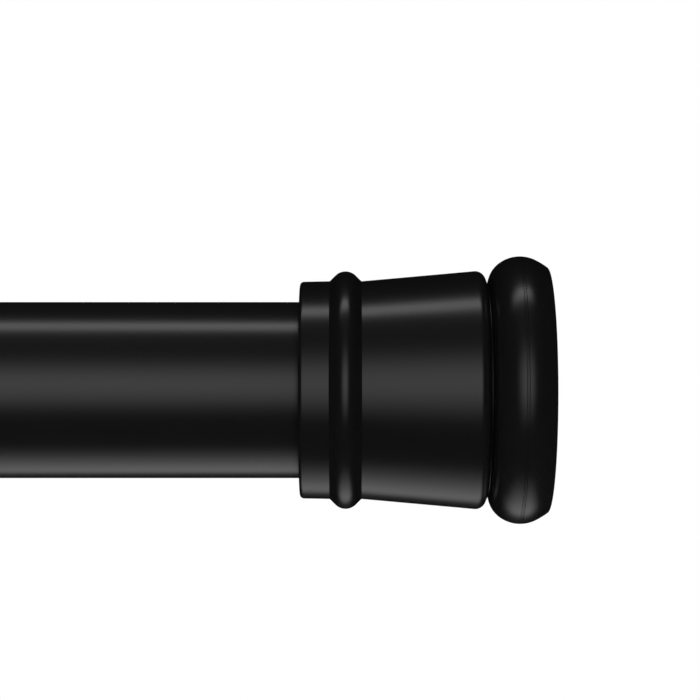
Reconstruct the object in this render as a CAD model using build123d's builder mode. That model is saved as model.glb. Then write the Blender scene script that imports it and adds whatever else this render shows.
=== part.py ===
from build123d import *
from collections import namedtuple
from math import asin, cos, degrees, radians, sin, tan
import os

# Tension shower curtain rod: two telescoping steel tubes with an expanding screw lock inside, and a flared
# cover and a rubber foot on each end. The rod lies along X. The origin is the middle of the fixed foot's
# wall face, and +X points out of it, into the wall. Each end is drawn as a section of distance from its wall
# face and radius, and spun about the rod's axis.

# Rod, from wall face to wall face with the tubes pushed together
closed_length = 1117.6
screw_turns = 8
screw_lead = 3.0

# Tubes
outer_tube_d = 25.4
tube_wall = 0.6
tube_gap = 1.0
shown_when_closed = 6.0

# Clearances, per side
press = 0.05
running = 0.06
sliding = 0.15
loose = 0.3

# Rubber bumper
bumper_overhang = 2.04
crown_from_wall = 4.06
crown_radius = 4.94
crown_rear_angle = 39.0
rear_radius = 3.75
crown_front_angle = 26.5
front_radius = 11.4
wall_edge_fillet = 0.5
rubber_skin = 2.2
rubber_wall = 5.1
rubber_hook = 1.8
grip_land_d = 14.0
grip_groove_width = 1.2
grip_groove_pitch = 2.7
grip_groove_depth = 0.5
grip_groove_count = 3

# Foot core
core_disc_thickness = 3.4
core_rim_thickness = 0.3
core_seat_angle = 17.0
hub_d = 14.2
hub_length = 6.7
core_bolt_hole_d = 4.4
core_pocket_count = 6
core_pocket_d = 3.0
core_pocket_depth = 2.2

# Flared cover
cover_length = 26.86
cover_wall = 1.8
collar_depth = 3.0
collar_length = 6.56
collar_draft = 0.08
mouth_fillet = 0.6
mouth_lip = 2.0
bead_height = 1.42
bead_radius = 2.08
bead_flank_angle = 45.0
bead_root_fillet = 0.1
cover_flare = 1.55
flank_drop = 1.7
flank_angle = 68.0
flank_fillet = 1.46
cover_rib_count = 8
cover_rib_width = 1.2

# End plugs
plug_flange = 2.0
plug_length = 22.0
plug_wall = 1.8
plug_floor = 2.0
snout_wall = 1.9
boss_wall = 2.6
boss_past_screw = 3.0
plug_rib_count = 6
plug_rib_width = 1.2
plug_rib_length = 8.0
key_width = 3.0
key_height = 0.9

# Foot screws and washers
screw_d = 3.9
screw_head_d = 7.6
screw_head_height = 2.2
screw_length = 20.0
recess_width = 1.1
recess_span = 4.4
recess_depth = 1.2
head_washer_thickness = 0.8
head_washer_d = 8.8
shoulder_d = 6.0
thrust_washer_thickness = 0.6
swivel_play = 0.3

# Mouth bushing on the outer tube
bushing_length = 25.0
bushing_flange = 2.5
bushing_overhang = 0.6
bushing_fillet = 0.8

# Spindle, its nuts and its stop
spindle_d = 8.0
spindle_overrun = 2.0
spindle_chamfer = 1.0
nut_flats = 13.0
nut_height = 6.5
nut_chamfer_angle = 30.0
washer_thickness = 1.2
washer_d = 17.0
run_out = 3.0
stop_collar_thickness = 3.0
stop_collar_d = 14.0
stop_collar_chamfer = 0.5

# Locking collet and wedge
collet_length = 30.0
collet_hub = 8.6
collet_lip = 2.6
collet_spring_wall = 1.9
collet_seat_length = 13.0
collet_slot_count = 6
collet_slot_width = 1.6
wedge_angle = 10.0
wedge_lead_in = 2.0
wedge_flange = 3.4
wedge_stand_off = 4.0
wedge_pin_d = 2.0
drag_ring_d = 1.8
drag_ring_from_end = 3.4

# Spring that keeps the wedge pressed into the collet
spring_wire_d = 1.4
spring_closed_length = 30.0
spring_turns = 9
spring_mean_d = 17.0

# Drive plug in the inner tube
drive_flange = 3.0
drive_length = 24.0

# Radii that follow
outer_r = outer_tube_d / 2
outer_bore_r = outer_r - tube_wall
inner_r = outer_bore_r - tube_gap
inner_bore_r = inner_r - tube_wall
guide_r = outer_bore_r - loose
spindle_r = spindle_d / 2
hub_r = hub_d / 2
cover_small_r = outer_r + collar_depth
cover_large_r = cover_small_r + cover_flare
bumper_r = cover_large_r + bumper_overhang
core_disc_r = bumper_r - rubber_wall
core_neck_r = core_disc_r - rubber_hook
crown_centre_r = bumper_r - crown_radius
bumper_rear_r = crown_centre_r + (crown_radius - rear_radius) * cos(radians(crown_rear_angle))
core_rim_r = bumper_rear_r + running
snout_r = hub_r + running + snout_wall
web_hole_r = snout_r + sliding

# Distances from the wall face that follow, through the foot and the plug
bumper_width = crown_from_wall + (crown_radius - rear_radius) * sin(radians(crown_rear_angle)) + rear_radius
core_disc_back = rubber_skin + core_disc_thickness
core_back = bumper_width + core_rim_thickness
hub_end = core_back + hub_length
head_floor = rubber_skin + loose + screw_head_height + head_washer_thickness
tube_start = core_back + cover_wall + plug_flange
plug_end = tube_start + plug_length

# Distances from the fixed wall face that follow, down the lock with the tubes pushed together
feed_travel = screw_turns * screw_lead
mouth_face = closed_length - swivel_play - core_back - cover_length - shown_when_closed
outer_tube_end = mouth_face - bushing_flange
spindle_front = plug_end + run_out + feed_travel
end_nut_front = spindle_front + spindle_overrun
collet_front = end_nut_front + nut_height + washer_thickness
collet_back = collet_front + collet_length
wedge_shoulder = collet_back + wedge_stand_off
wedge_back = wedge_shoulder + wedge_flange
spring_front = wedge_back + washer_thickness
spring_back = spring_front + spring_closed_length
drive_front = spring_back + washer_thickness
inner_tube_start = drive_front + drive_flange
drive_back = inner_tube_start + drive_length
stop_collar_front = drive_back + feed_travel + loose
spindle_back = stop_collar_front + stop_collar_thickness + spindle_overrun
inner_tube_end = closed_length - tube_start - swivel_play

# The two ends: the fixed one at the origin, and the swivelling one at the far wall face
End = namedtuple("End", "name plane tube_r bore_r cover_gap play turns")
fixed_plane = Plane((0, 0, 0), x_dir=(-1, 0, 0), z_dir=(0, 1, 0))
swivel_plane = Plane((-closed_length, 0, 0), x_dir=(1, 0, 0), z_dir=(0, -1, 0))
fixed = End("fixed", fixed_plane, outer_r, outer_bore_r, 0, 0, False)
swivel = End("swivel", swivel_plane, inner_r, inner_bore_r, swivel_play, running, True)


def across(end, distance):
    """The plane across the rod at a distance from an end's wall face, facing away from the wall."""
    centre = end.plane.origin + end.plane.x_dir * distance
    return Plane(centre, x_dir=(0, 0, 1), z_dir=end.plane.x_dir)


def upright(distance):
    """The level plane through the rod's axis at a distance from the fixed wall face."""
    return Plane(fixed.plane.origin + fixed.plane.x_dir * distance)


def under_head(end):
    """Where the underside of the foot screw's head lies."""
    return head_floor - end.play - head_washer_thickness


def plug_floor_front(end):
    """Where the plug's floor stops the hub, or the washer behind the hub on the end that turns."""
    return hub_end + end.play + (thrust_washer_thickness if end.turns else 0)


def core_seat(radius):
    """Where the cone lies on which the rubber's back rests against the core's rim."""
    return bumper_width - (bumper_rear_r - radius) * tan(radians(core_seat_angle))


def wedge_radius(distance):
    """The wedge's taper, which the collet's seat follows."""
    return guide_r - collet_lip - (wedge_shoulder - distance) * tan(radians(wedge_angle))


def keep(builder, name):
    """Labels a finished piece and writes it as its node."""
    builder.part.label = name
    export_step(builder.part, f"parts/{name}.step")


def foot_bumper(end):
    """Soft rubber cap with a grooved wall face, stretched over the core's disc."""
    front_centre = crown_from_wall + (front_radius - crown_radius) * sin(radians(crown_front_angle))
    front_angle = degrees(asin(front_centre / front_radius)) - crown_front_angle
    crown = (crown_from_wall, bumper_r)
    neck_r = core_neck_r + press
    disc_r = core_disc_r + press
    with BuildPart() as bumper:
        with BuildSketch(end.plane):
            with BuildLine():
                crown_front = JernArc(crown, (-1, 0), crown_radius, crown_front_angle)
                front = JernArc(crown_front @ 1, crown_front % 1, front_radius, front_angle)
                crown_rear = JernArc(crown, (1, 0), crown_radius, -crown_rear_angle)
                rear = JernArc(crown_rear @ 1, crown_rear % 1, rear_radius, crown_rear_angle - 90)
                Polyline(
                    rear @ 1,
                    (core_seat(neck_r), neck_r),
                    (core_disc_back, neck_r),
                    (core_disc_back, disc_r),
                    (rubber_skin, disc_r),
                    (rubber_skin, 0),
                    (0, 0),
                    front @ 1,
                )
            make_face()
        revolve(axis=Axis.X)
        from_wall = Axis(end.plane.origin, end.plane.x_dir)
        fillet(bumper.edges().filter_by(GeomType.CIRCLE).sort_by(from_wall)[0], wall_edge_fillet)
        with BuildSketch(across(end, 0)):
            for ring in range(grip_groove_count):
                groove_r = grip_land_d / 2 + ring * grip_groove_pitch
                Circle(groove_r + grip_groove_width)
                Circle(groove_r, mode=Mode.SUBTRACT)
        extrude(amount=grip_groove_depth, mode=Mode.SUBTRACT)
    return bumper


def foot_core(end):
    """Hard disc that carries the rubber, with a thin rim behind it and a hub that enters the plug."""
    bolt_r = shoulder_d / 2 + running if end.turns else core_bolt_hole_d / 2
    head_r = head_washer_d / 2 + loose
    with BuildPart() as core:
        with BuildSketch(end.plane):
            with BuildLine():
                Polyline(
                    (rubber_skin, head_r),
                    (rubber_skin, core_disc_r),
                    (core_disc_back, core_disc_r),
                    (core_disc_back, core_neck_r),
                    (core_seat(core_neck_r), core_neck_r),
                    (bumper_width, bumper_rear_r),
                    (bumper_width, core_rim_r),
                    (core_back, core_rim_r),
                    (core_back, hub_r),
                    (hub_end, hub_r),
                    (hub_end, bolt_r),
                    (head_floor, bolt_r),
                    (head_floor, head_r),
                    close=True,
                )
            make_face()
        revolve(axis=Axis.X)
        with BuildSketch(across(end, rubber_skin)):
            with PolarLocations((core_disc_r + head_r) / 2, core_pocket_count):
                Circle(core_pocket_d / 2)
        extrude(amount=core_pocket_depth, mode=Mode.SUBTRACT)
        if not end.turns:
            with BuildSketch(across(end, core_back)):
                with Locations((hub_r, 0)):
                    Rectangle(2 * key_height, key_width)
            extrude(amount=hub_length)
    return core


def cover_cavity(end):
    """The space inside a cover, between its ribs."""
    front = core_back + end.cover_gap + cover_wall
    back = core_back + end.cover_gap + cover_length - mouth_lip
    under_bead = back + mouth_lip - collar_length
    rib_r = end.tube_r + press
    with BuildPart() as cavity:
        with BuildSketch(end.plane):
            with BuildLine():
                Polyline(
                    (front, rib_r),
                    (front, cover_large_r - cover_wall),
                    (under_bead, cover_small_r - cover_wall),
                    (back, cover_small_r - cover_wall),
                    (back, rib_r),
                    close=True,
                )
            make_face()
        revolve(axis=Axis.X)
        with BuildSketch(across(end, front)):
            with PolarLocations(0, cover_rib_count):
                Rectangle(cover_large_r, cover_rib_width, align=(Align.MIN, Align.CENTER))
        extrude(amount=back - front, mode=Mode.SUBTRACT)
    return cavity


def end_cover(end):
    """Flared cover: a plain collar, a half-round bead and a cone with a rounded flank, ribbed inside."""
    front = core_back + end.cover_gap
    mouth = front + cover_length
    flank_top = front + flank_drop / tan(radians(flank_angle))
    bead = mouth - collar_length
    bead_r = cover_small_r + bead_height
    flank = radians(bead_flank_angle)
    arc_half = bead_radius * sin(flank)
    arc_end_r = bead_r - bead_radius * (1 - cos(flank))
    bead_half = arc_half + (arc_end_r - cover_small_r) / tan(flank)
    rib_r = end.tube_r + press
    cavity = cover_cavity(end)
    with BuildPart() as cover:
        with BuildSketch(end.plane) as section:
            with BuildLine():
                Polyline(
                    (bead - arc_half, arc_end_r),
                    (bead - bead_half, cover_small_r),
                    (flank_top, cover_large_r),
                    (front, cover_large_r - flank_drop),
                    (front, web_hole_r),
                    (front + cover_wall, web_hole_r),
                    (front + cover_wall, rib_r),
                    (mouth, rib_r),
                    (mouth, cover_small_r - collar_draft),
                    (bead + bead_half, cover_small_r),
                    (bead + arc_half, arc_end_r),
                )
                ThreePointArc((bead - arc_half, arc_end_r), (bead, bead_r), (bead + arc_half, arc_end_r))
            make_face()
            flank_corner = section.vertices().sort_by_distance((flank_top, cover_large_r))[0]
            fillet(flank_corner, flank_fillet)
            mouth_corner = section.vertices().sort_by_distance((mouth, cover_small_r - collar_draft))[0]
            fillet(mouth_corner, mouth_fillet)
            for root in (bead - bead_half, bead + bead_half):
                fillet(section.vertices().sort_by_distance((root, cover_small_r))[0], bead_root_fillet)
        revolve(axis=Axis.X)
        add(cavity.part, mode=Mode.SUBTRACT)
    return cover


def end_plug(end):
    """Plug pressed into the tube: a snout through the cover, a flange on the tube's end, a boss inside."""
    snout_front = core_back + end.cover_gap + loose
    flange_front = core_back + end.cover_gap + cover_wall
    flange_back = flange_front + plug_flange
    back = flange_back + plug_length
    floor_front = plug_floor_front(end)
    floor_back = floor_front + plug_floor
    bore_r = hub_r + running
    spigot_r = end.bore_r - press
    hollow_r = spigot_r - plug_wall
    screw_r = screw_d / 2 + press
    boss_r = screw_r + boss_wall
    boss_back = under_head(end) + screw_length + boss_past_screw
    with BuildPart() as plug:
        with BuildSketch(end.plane):
            with BuildLine():
                Polyline(
                    (snout_front, bore_r),
                    (snout_front, snout_r),
                    (flange_front, snout_r),
                    (flange_front, end.tube_r),
                    (flange_back, end.tube_r),
                    (flange_back, spigot_r),
                    (back, spigot_r),
                    (back, hollow_r),
                    (floor_back, hollow_r),
                    (floor_back, boss_r),
                    (boss_back, boss_r),
                    (boss_back, screw_r),
                    (floor_front, screw_r),
                    (floor_front, bore_r),
                    close=True,
                )
            make_face()
        revolve(axis=Axis.X)
        with BuildSketch(across(end, floor_back)):
            with PolarLocations(boss_r - press, plug_rib_count):
                Rectangle(hollow_r - boss_r + 2 * press, plug_rib_width, align=(Align.MIN, Align.CENTER))
        extrude(amount=plug_rib_length)
        if not end.turns:
            with BuildSketch(across(end, snout_front)):
                with Locations((hub_r, 0)):
                    Rectangle(2 * (key_height + running), key_width + 2 * running)
            extrude(amount=floor_front - snout_front, mode=Mode.SUBTRACT)
    return plug


def foot_screw(end):
    """Pan head screw down the core: plain on the fixed foot, shouldered where the foot turns on it."""
    head_back = under_head(end)
    head_front = head_back - screw_head_height
    tip = head_back + screw_length
    screw_r = screw_d / 2
    shoulder_r = shoulder_d / 2
    shoulder_end = plug_floor_front(end)
    shoulder = [(head_back, shoulder_r), (shoulder_end, shoulder_r), (shoulder_end, screw_r)]
    with BuildPart() as screw:
        with BuildSketch(end.plane):
            with BuildLine():
                Polyline(
                    (head_back, screw_head_d / 2),
                    *(shoulder if end.turns else [(head_back, screw_r)]),
                    (tip - screw_r, screw_r),
                    (tip, screw_r / 2),
                    (tip, 0),
                    (head_front, 0),
                    (head_front, screw_head_d / 4),
                )
                TangentArc((head_front, screw_head_d / 4), (head_back, screw_head_d / 2), tangent=(0, 1))
            make_face()
        revolve(axis=Axis.X)
        with BuildSketch(across(end, head_front)):
            Rectangle(recess_span, recess_width)
            Rectangle(recess_width, recess_span)
        extrude(amount=recess_depth, mode=Mode.SUBTRACT)
    return screw


def flat_washer(plane, outside_d, hole_d, thickness):
    """Flat washer lying on a plane across the rod."""
    with BuildPart() as washer:
        with BuildSketch(plane):
            Circle(outside_d / 2)
            Circle(hole_d / 2, mode=Mode.SUBTRACT)
        extrude(amount=thickness)
    return washer


def hex_nut(plane, hole_d):
    """Hexagon nut with the corners of both faces chamfered."""
    corner_r = nut_flats / 2 / cos(radians(30))
    drop = (corner_r - nut_flats / 2) * tan(radians(nut_chamfer_angle))
    with BuildPart() as nut:
        with BuildSketch(plane):
            RegularPolygon(nut_flats / 2, 6, major_radius=False)
            Circle(hole_d / 2, mode=Mode.SUBTRACT)
        extrude(amount=nut_height)
        with BuildSketch(Plane(plane.origin, x_dir=plane.z_dir, z_dir=(0, 1, 0))):
            with BuildLine():
                Polyline(
                    (0, 0),
                    (0, nut_flats / 2),
                    (drop, corner_r),
                    (nut_height - drop, corner_r),
                    (nut_height, nut_flats / 2),
                    (nut_height, 0),
                    close=True,
                )
            make_face()
        revolve(axis=Axis.X, mode=Mode.INTERSECT)
    return nut


os.makedirs("parts", exist_ok=True)

# Outer tube, from the fixed plug's flange to the mouth bushing
with BuildPart() as outer_tube:
    with BuildSketch(across(fixed, tube_start)):
        Circle(outer_r)
        Circle(outer_bore_r, mode=Mode.SUBTRACT)
    extrude(amount=outer_tube_end - tube_start)
keep(outer_tube, "outer_tube")

# Inner tube, from the drive plug's flange to the swivelling end's plug
with BuildPart() as inner_tube:
    with BuildSketch(across(fixed, inner_tube_start)):
        Circle(inner_r)
        Circle(inner_bore_r, mode=Mode.SUBTRACT)
    extrude(amount=inner_tube_end - inner_tube_start)
keep(inner_tube, "inner_tube")

# Foot, cover, plug and screw of each end
for end in (fixed, swivel):
    keep(foot_bumper(end), f"{end.name}_foot_bumper")
    keep(foot_core(end), f"{end.name}_foot_core")
    keep(end_cover(end), f"{end.name}_end_cover")
    keep(end_plug(end), f"{end.name}_end_plug")
    keep(foot_screw(end), f"{end.name}_foot_screw")
    washer_hole_d = (shoulder_d if end.turns else screw_d) + 2 * running
    head_washer = flat_washer(
        across(end, under_head(end)), head_washer_d, washer_hole_d, head_washer_thickness
    )
    keep(head_washer, f"{end.name}_head_washer")

# Nylon washer between the swivelling hub and its plug
thrust_washer = flat_washer(
    across(swivel, hub_end + swivel.play), hub_d, shoulder_d + 2 * running, thrust_washer_thickness
)
keep(thrust_washer, "swivel_thrust_washer")

# Mouth bushing, which lines the outer tube's open end and carries the inner tube
with BuildPart() as mouth_bushing:
    with BuildSketch(fixed.plane):
        with BuildLine():
            Polyline(
                (outer_tube_end - bushing_length, inner_r + sliding),
                (outer_tube_end - bushing_length, outer_bore_r - press),
                (outer_tube_end, outer_bore_r - press),
                (outer_tube_end, outer_r + bushing_overhang),
                (mouth_face, outer_r + bushing_overhang),
                (mouth_face, inner_r + sliding),
                close=True,
            )
        make_face()
    revolve(axis=Axis.X)
    flange_rims = mouth_bushing.edges().filter_by(GeomType.CIRCLE).group_by(SortBy.RADIUS)[-1]
    fillet(flange_rims.sort_by(Axis.X)[0], bushing_fillet)
keep(mouth_bushing, "mouth_bushing")

# Threaded spindle, at its thread's outer diameter, with the hole for the wedge's pin
pin_at = (collet_back + wedge_shoulder) / 2
with BuildPart() as spindle:
    with BuildSketch(across(fixed, spindle_front)):
        Circle(spindle_r)
    extrude(amount=spindle_back - spindle_front)
    chamfer(spindle.edges().filter_by(GeomType.CIRCLE), spindle_chamfer)
    with BuildSketch(upright(pin_at)):
        Circle(wedge_pin_d / 2)
    extrude(amount=spindle_d, both=True, mode=Mode.SUBTRACT)
keep(spindle, "threaded_spindle")

# Nut and washer that hold the collet on the spindle's front end
lock_nut = hex_nut(across(fixed, end_nut_front), spindle_d + 2 * press)
keep(lock_nut, "spindle_lock_nut")
collet_washer = flat_washer(
    across(fixed, end_nut_front + nut_height), washer_d, spindle_d + 2 * sliding, washer_thickness
)
keep(collet_washer, "collet_washer")

# Locking collet: a hub on the spindle, thin spring walls and thick lips whose taper sits on the wedge
seat_front = collet_back - collet_seat_length
ring_at = collet_front + drag_ring_from_end
with BuildPart() as collet:
    with BuildSketch(fixed.plane):
        with BuildLine():
            Polyline(
                (collet_front, spindle_r + sliding),
                (collet_front, guide_r - sliding),
                (collet_back, guide_r - sliding),
                (collet_back, wedge_radius(collet_back) + running),
                (seat_front, wedge_radius(seat_front) + running),
                (seat_front, guide_r - sliding - collet_spring_wall),
                (collet_front + collet_hub, guide_r - sliding - collet_spring_wall),
                (collet_front + collet_hub, spindle_r + sliding),
                close=True,
            )
        make_face()
    revolve(axis=Axis.X)
    with BuildSketch(across(fixed, collet_front + collet_hub)):
        with PolarLocations(0, collet_slot_count):
            Rectangle(outer_tube_d, collet_slot_width, align=(Align.MIN, Align.CENTER))
    extrude(amount=collet_length - collet_hub, mode=Mode.SUBTRACT)
    with BuildSketch(fixed.plane):
        with Locations((ring_at, guide_r)):
            Rectangle(drag_ring_d + 2 * sliding, 2 * (drag_ring_d + running))
    revolve(axis=Axis.X, mode=Mode.SUBTRACT)
keep(collet, "lock_collet")

# Rubber ring round the hub, which keeps the collet from spinning in the tube
with BuildPart() as drag_ring:
    with BuildSketch(fixed.plane):
        with Locations((ring_at, guide_r - drag_ring_d / 2)):
            Circle(drag_ring_d / 2)
    revolve(axis=Axis.X)
keep(drag_ring, "drag_ring")

# Wedge: its cone spreads the collet's lips, and its flange takes the spring
wedge_front = seat_front - wedge_lead_in
with BuildPart() as wedge:
    with BuildSketch(fixed.plane):
        with BuildLine():
            Polyline(
                (wedge_front, spindle_r + press),
                (wedge_front, wedge_radius(wedge_front)),
                (wedge_shoulder, wedge_radius(wedge_shoulder)),
                (wedge_shoulder, guide_r - sliding),
                (wedge_back, guide_r - sliding),
                (wedge_back, spindle_r + press),
                close=True,
            )
        make_face()
    revolve(axis=Axis.X)
    with BuildSketch(upright(pin_at)):
        Circle(wedge_pin_d / 2)
    extrude(amount=outer_r, both=True, mode=Mode.SUBTRACT)
keep(wedge, "wedge_cone")

# Steel pin through wedge and spindle, a little under the wedge's taper
with BuildPart() as wedge_pin:
    with BuildSketch(upright(pin_at)):
        Circle(wedge_pin_d / 2 - press)
    extrude(amount=wedge_radius(pin_at) - loose, both=True)
keep(wedge_pin, "wedge_pin")

# Spring between two washers, one on the wedge and one over the drive nut
seat_d = spring_mean_d + 2 * spring_wire_d
wedge_seat = flat_washer(across(fixed, wedge_back), seat_d, spindle_d + 2 * sliding, washer_thickness)
keep(wedge_seat, "spring_seat_wedge")
drive_seat = flat_washer(across(fixed, spring_back), seat_d, spindle_d + 2 * loose, washer_thickness)
keep(drive_seat, "spring_seat_drive")
spring_rise = spring_closed_length - spring_wire_d - 2 * press
spring_axis_start = (-(spring_front + press + spring_wire_d / 2), 0, 0)
with BuildPart() as spring:
    with BuildLine() as coil:
        Helix(
            pitch=spring_rise / spring_turns,
            height=spring_rise,
            radius=spring_mean_d / 2,
            center=spring_axis_start,
            direction=(-1, 0, 0),
        )
    with BuildSketch(coil.line ^ 0):
        Circle(spring_wire_d / 2)
    sweep(is_frenet=True)
keep(spring, "lock_spring")

# Drive plug: pressed into the inner tube, guided in the outer one, with a hexagon pocket for the drive nut
with BuildPart() as drive_plug:
    with BuildSketch(fixed.plane):
        with BuildLine():
            Polyline(
                (drive_front, spindle_r + loose),
                (drive_front, guide_r),
                (inner_tube_start, guide_r),
                (inner_tube_start, inner_bore_r - press),
                (drive_back, inner_bore_r - press),
                (drive_back, spindle_r + loose),
                close=True,
            )
        make_face()
    revolve(axis=Axis.X)
    with BuildSketch(across(fixed, drive_front)):
        RegularPolygon(nut_flats / 2 + press, 6, major_radius=False)
    extrude(amount=nut_height, mode=Mode.SUBTRACT)
keep(drive_plug, "drive_plug")
drive_nut = hex_nut(across(fixed, drive_front), spindle_d + 2 * running)
keep(drive_nut, "drive_nut")

# Stop collar on the spindle's tail, which meets the drive plug at the end of the screw's travel
with BuildPart() as stop_collar:
    with BuildSketch(across(fixed, stop_collar_front)):
        Circle(stop_collar_d / 2)
        Circle(spindle_r + press, mode=Mode.SUBTRACT)
    extrude(amount=stop_collar_thickness)
    collar_rims = stop_collar.edges().filter_by(GeomType.CIRCLE).group_by(SortBy.RADIUS)[-1]
    chamfer(collar_rims, stop_collar_chamfer)
keep(stop_collar, "spindle_stop_collar")
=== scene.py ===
"""Tension shower curtain rod: black tubes, flared end covers, rubber feet and a screw lock inside.

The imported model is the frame. The pieces that show are turned again here with fine facets, the
spindle gets its thread and the spring its ground ends. Sizes are in millimetres, as in the part's
source, and placed in metres along X from the wall face of the end that they belong to.
"""

import logging
import math
from collections.abc import Iterator
from contextlib import contextmanager
from dataclasses import dataclass, field
from enum import Enum

import bpy
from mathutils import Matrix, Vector


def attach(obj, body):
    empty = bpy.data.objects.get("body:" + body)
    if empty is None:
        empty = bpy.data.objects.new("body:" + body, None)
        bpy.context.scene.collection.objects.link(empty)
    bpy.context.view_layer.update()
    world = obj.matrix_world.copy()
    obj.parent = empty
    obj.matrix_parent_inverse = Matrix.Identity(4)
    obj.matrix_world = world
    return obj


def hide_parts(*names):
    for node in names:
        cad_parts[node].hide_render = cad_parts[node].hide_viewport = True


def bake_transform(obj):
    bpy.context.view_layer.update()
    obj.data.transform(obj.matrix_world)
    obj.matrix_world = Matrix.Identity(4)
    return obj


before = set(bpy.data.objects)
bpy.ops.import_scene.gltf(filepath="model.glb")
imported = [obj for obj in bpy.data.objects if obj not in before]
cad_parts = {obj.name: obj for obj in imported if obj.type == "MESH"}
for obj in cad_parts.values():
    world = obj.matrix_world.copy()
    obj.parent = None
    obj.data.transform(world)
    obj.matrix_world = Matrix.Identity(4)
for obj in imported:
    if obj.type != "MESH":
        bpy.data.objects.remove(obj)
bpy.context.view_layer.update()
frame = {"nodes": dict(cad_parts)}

log = logging.getLogger("curtain_rod")
Point = tuple[float, float]
Triple = tuple[float, float, float]
Colour = tuple[float, float, float, float]
Piece = bpy.types.Object
Tree = bpy.types.NodeTree
Node = bpy.types.Node
Socket = bpy.types.NodeSocket

MM = 0.001
ROD_LENGTH = 1117.6
# How much larger the radius of a bore is that is pushed on a tube
PRESS = 0.05
# Distances within which vertices become one: turned pieces, and the joins of the spring's wire
MERGE = 0.001
WIRE_MERGE = 0.002
# Largest turn in degrees between two points of a broken edge that is too small to show
COARSE_TURN = 22.5
# Edges of more than this many degrees stay sharp: on turned pieces, and on threads and wire
SHARP = 24.0
THREAD_SHARP = 35.0


# Finishes

def srgb(code: str) -> Colour:
    """Turns an sRGB hex value into linear colour.

    Args:
        code: Six hex digits after a #.

    Returns:
        Linear red, green, blue and an alpha of 1.
    """
    parts = [int(code[i:i + 2], 16) / 255 for i in (1, 3, 5)]
    linear = [c / 12.92 if c <= 0.04045 else ((c + 0.055) / 1.055) ** 2.4 for c in parts]
    return (*linear, 1.0)


def add_node(tree: Tree, kind: str, settings: dict | None = None, values: dict | None = None,
             links: dict | None = None) -> Node:
    """Adds a node with its settings, its sockets' values and the links that run into it.

    Args:
        tree: The node tree that gets the node.
        kind: The node's type name.
        settings: Attribute names and their values.
        values: Input socket names or numbers and their values.
        links: Input socket names or numbers and the output sockets that feed them.

    Returns:
        The new node.
    """
    node = tree.nodes.new(kind)
    for name, value in (settings or {}).items():
        setattr(node, name, value)
    for name, value in (values or {}).items():
        node.inputs[name].default_value = value
    for name, source in (links or {}).items():
        tree.links.new(source, node.inputs[name])
    return node


def per_metre(size_mm: float) -> float:
    """The texture scale that gives features of a real size in millimetres."""
    return 1 / (size_mm * MM)


@dataclass(frozen=True)
class Finish:
    """A surface as its maker would name it, with a fine grain and clouds in its gloss and shade.

    Its name is none of the frame's own materials' names, because a name hands out one material.
    """

    name: str
    colour: str
    shade: str
    roughness: float
    metallic: float = 0.0
    ior: float = 1.5
    grain_mm: float = 0.5
    grain_height_mm: float = 0.002
    grain_strength: float = 1.0
    grain_stretch: Triple = (1.0, 1.0, 1.0)
    grain_detail: float = 2.0
    cloud_mm: float = 18.0
    cloud_detail: float = 3.0
    cloud_roughness: float = 0.55
    roughness_swing: float = 0.04
    roughness_lift: float = 0.0

    def material(self) -> bpy.types.Material:
        """Makes the material once and hands the same one out after that."""
        made = bpy.data.materials.get(self.name)
        if made:
            return made
        made = bpy.data.materials.new(self.name)
        made.use_nodes = True
        tree = made.node_tree
        tree.nodes.clear()
        place = add_node(tree, "ShaderNodeTexCoord").outputs["Object"]
        cloud = add_node(tree, "ShaderNodeTexNoise", values={
            "Scale": per_metre(self.cloud_mm), "Detail": self.cloud_detail,
            "Roughness": self.cloud_roughness}, links={"Vector": place}).outputs["Fac"]
        middle = self.roughness + self.roughness_lift
        gloss = add_node(tree, "ShaderNodeMapRange", values={
            "To Min": middle - self.roughness_swing, "To Max": middle + self.roughness_swing},
            links={"Value": cloud})
        tint = add_node(tree, "ShaderNodeMixRGB", values={
            "Color1": srgb(self.colour), "Color2": srgb(self.shade)}, links={"Fac": cloud})
        stretch = add_node(tree, "ShaderNodeMapping", values={"Scale": self.grain_stretch},
                           links={"Vector": place})
        grain = add_node(tree, "ShaderNodeTexNoise", values={
            "Scale": per_metre(self.grain_mm), "Detail": self.grain_detail},
            links={"Vector": stretch.outputs["Vector"]})
        bump = add_node(tree, "ShaderNodeBump", values={
            "Strength": self.grain_strength, "Distance": self.grain_height_mm * MM},
            links={"Height": grain.outputs["Fac"]})
        shader = add_node(tree, "ShaderNodeBsdfPrincipled", values={
            "Base Color": srgb(self.colour), "Roughness": self.roughness,
            "Metallic": self.metallic, "IOR": self.ior}, links={
            "Base Color": tint.outputs["Color"], "Roughness": gloss.outputs["Result"],
            "Normal": bump.outputs["Normal"]})
        add_node(tree, "ShaderNodeOutputMaterial", links={"Surface": shader.outputs["BSDF"]})
        self.add_glow(tree, shader, place)
        return made

    def add_glow(self, tree: Tree, shader: Node, place: Socket) -> None:
        """Adds the glow of a finish that has one, which most have not."""


@dataclass(frozen=True)
class TurnedSteel(Finish):
    """Steel with faint lines round the rod's axis, left by turning or drawing, and a dull film."""

    metallic: float = 1.0
    grain_mm: float = 0.25
    grain_height_mm: float = 0.003
    grain_strength: float = 0.6
    grain_stretch: Triple = (1.0, 0.05, 0.05)
    cloud_mm: float = 6.0
    cloud_detail: float = 4.0
    cloud_roughness: float = 0.5
    roughness_swing: float = 0.07
    roughness_lift: float = 0.01


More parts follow.
